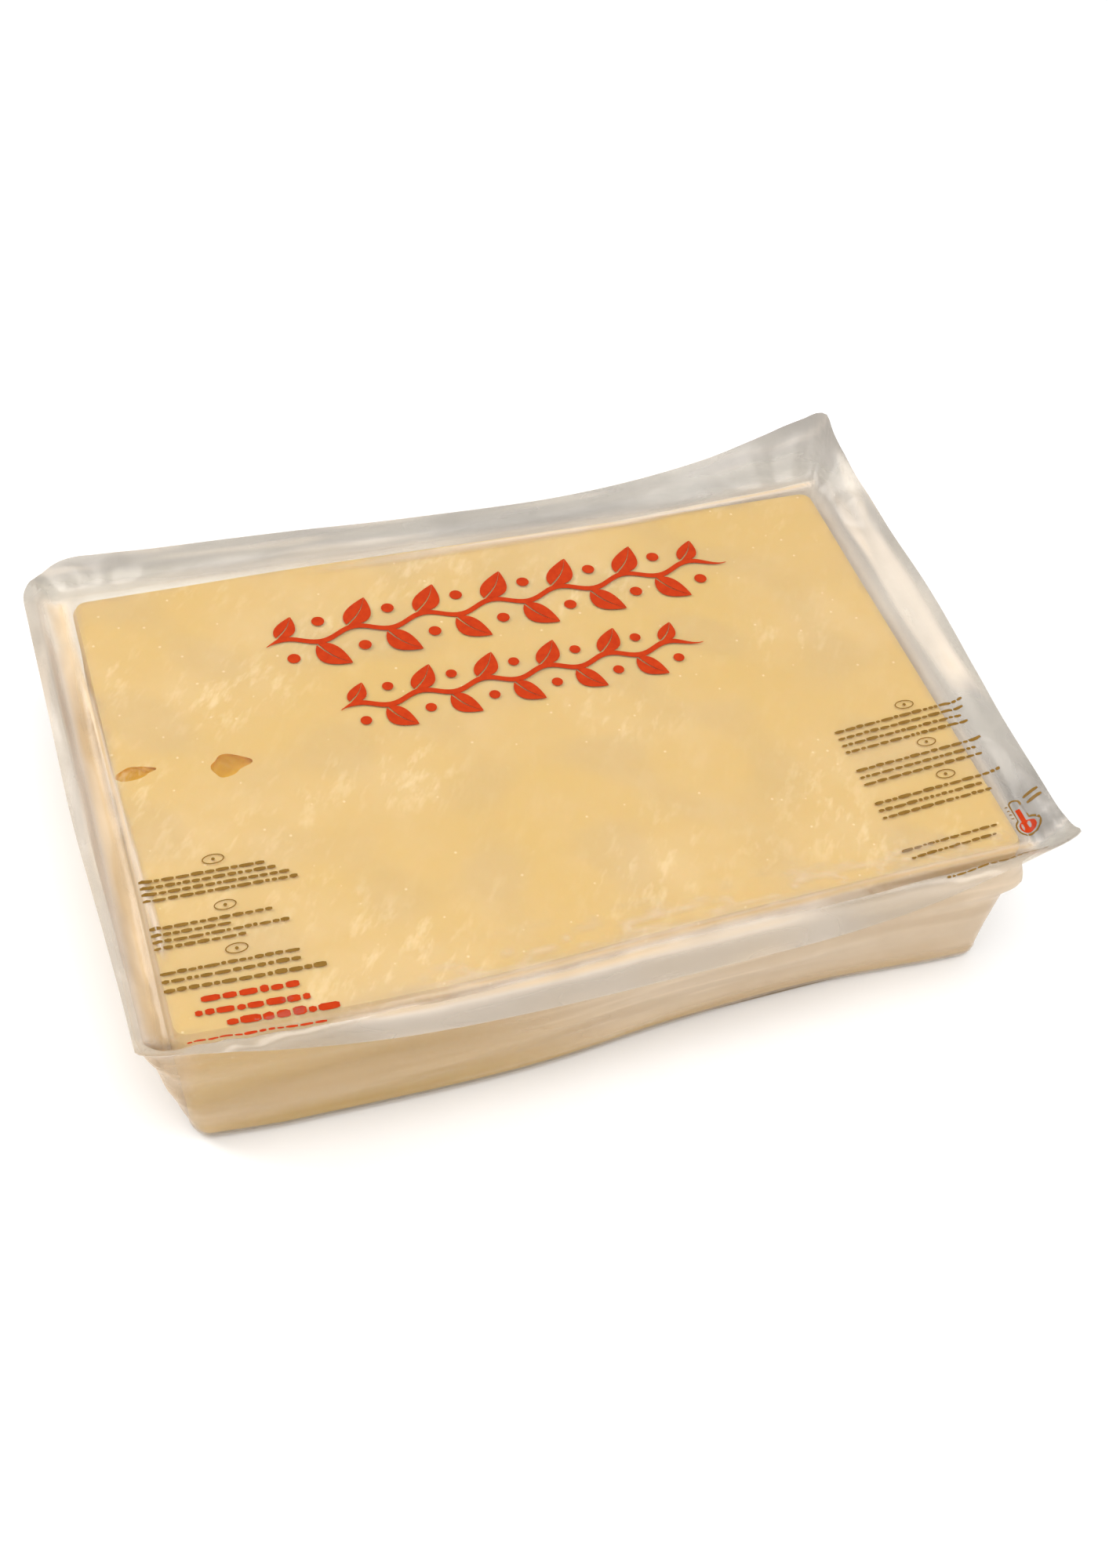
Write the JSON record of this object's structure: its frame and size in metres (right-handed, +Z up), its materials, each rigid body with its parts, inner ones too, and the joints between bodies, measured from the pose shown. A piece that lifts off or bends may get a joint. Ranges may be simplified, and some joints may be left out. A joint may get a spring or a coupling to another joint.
{
  "type": "vacuum-packed cheese block",
  "caption": "Rectangular slab of Emmental-type cheese with eyes, vacuum packed in clear film with a curled sealed flange all round.",
  "frame": {"origin": "middle of the pack's flat underside", "axes": "+X along the block's length, +Y towards its back long side, +Z up from the underside to the printed face"},
  "size_m": [0.3003, 0.2062, 0.0799],
  "materials": {
    "cheese": "pale straw-coloured pressed cheese, waxy and slightly translucent",
    "formed_film": "clear thermoformed film with a milky haze, wrinkled and pleated",
    "lid_film": "clear glossy film, printed in red and dark brown"
  },
  "bodies": {
    "root": {"cheese_block": "cheese", "formed_film": "formed_film", "lid_film": "lid_film"}
  },
  "joints": []
}
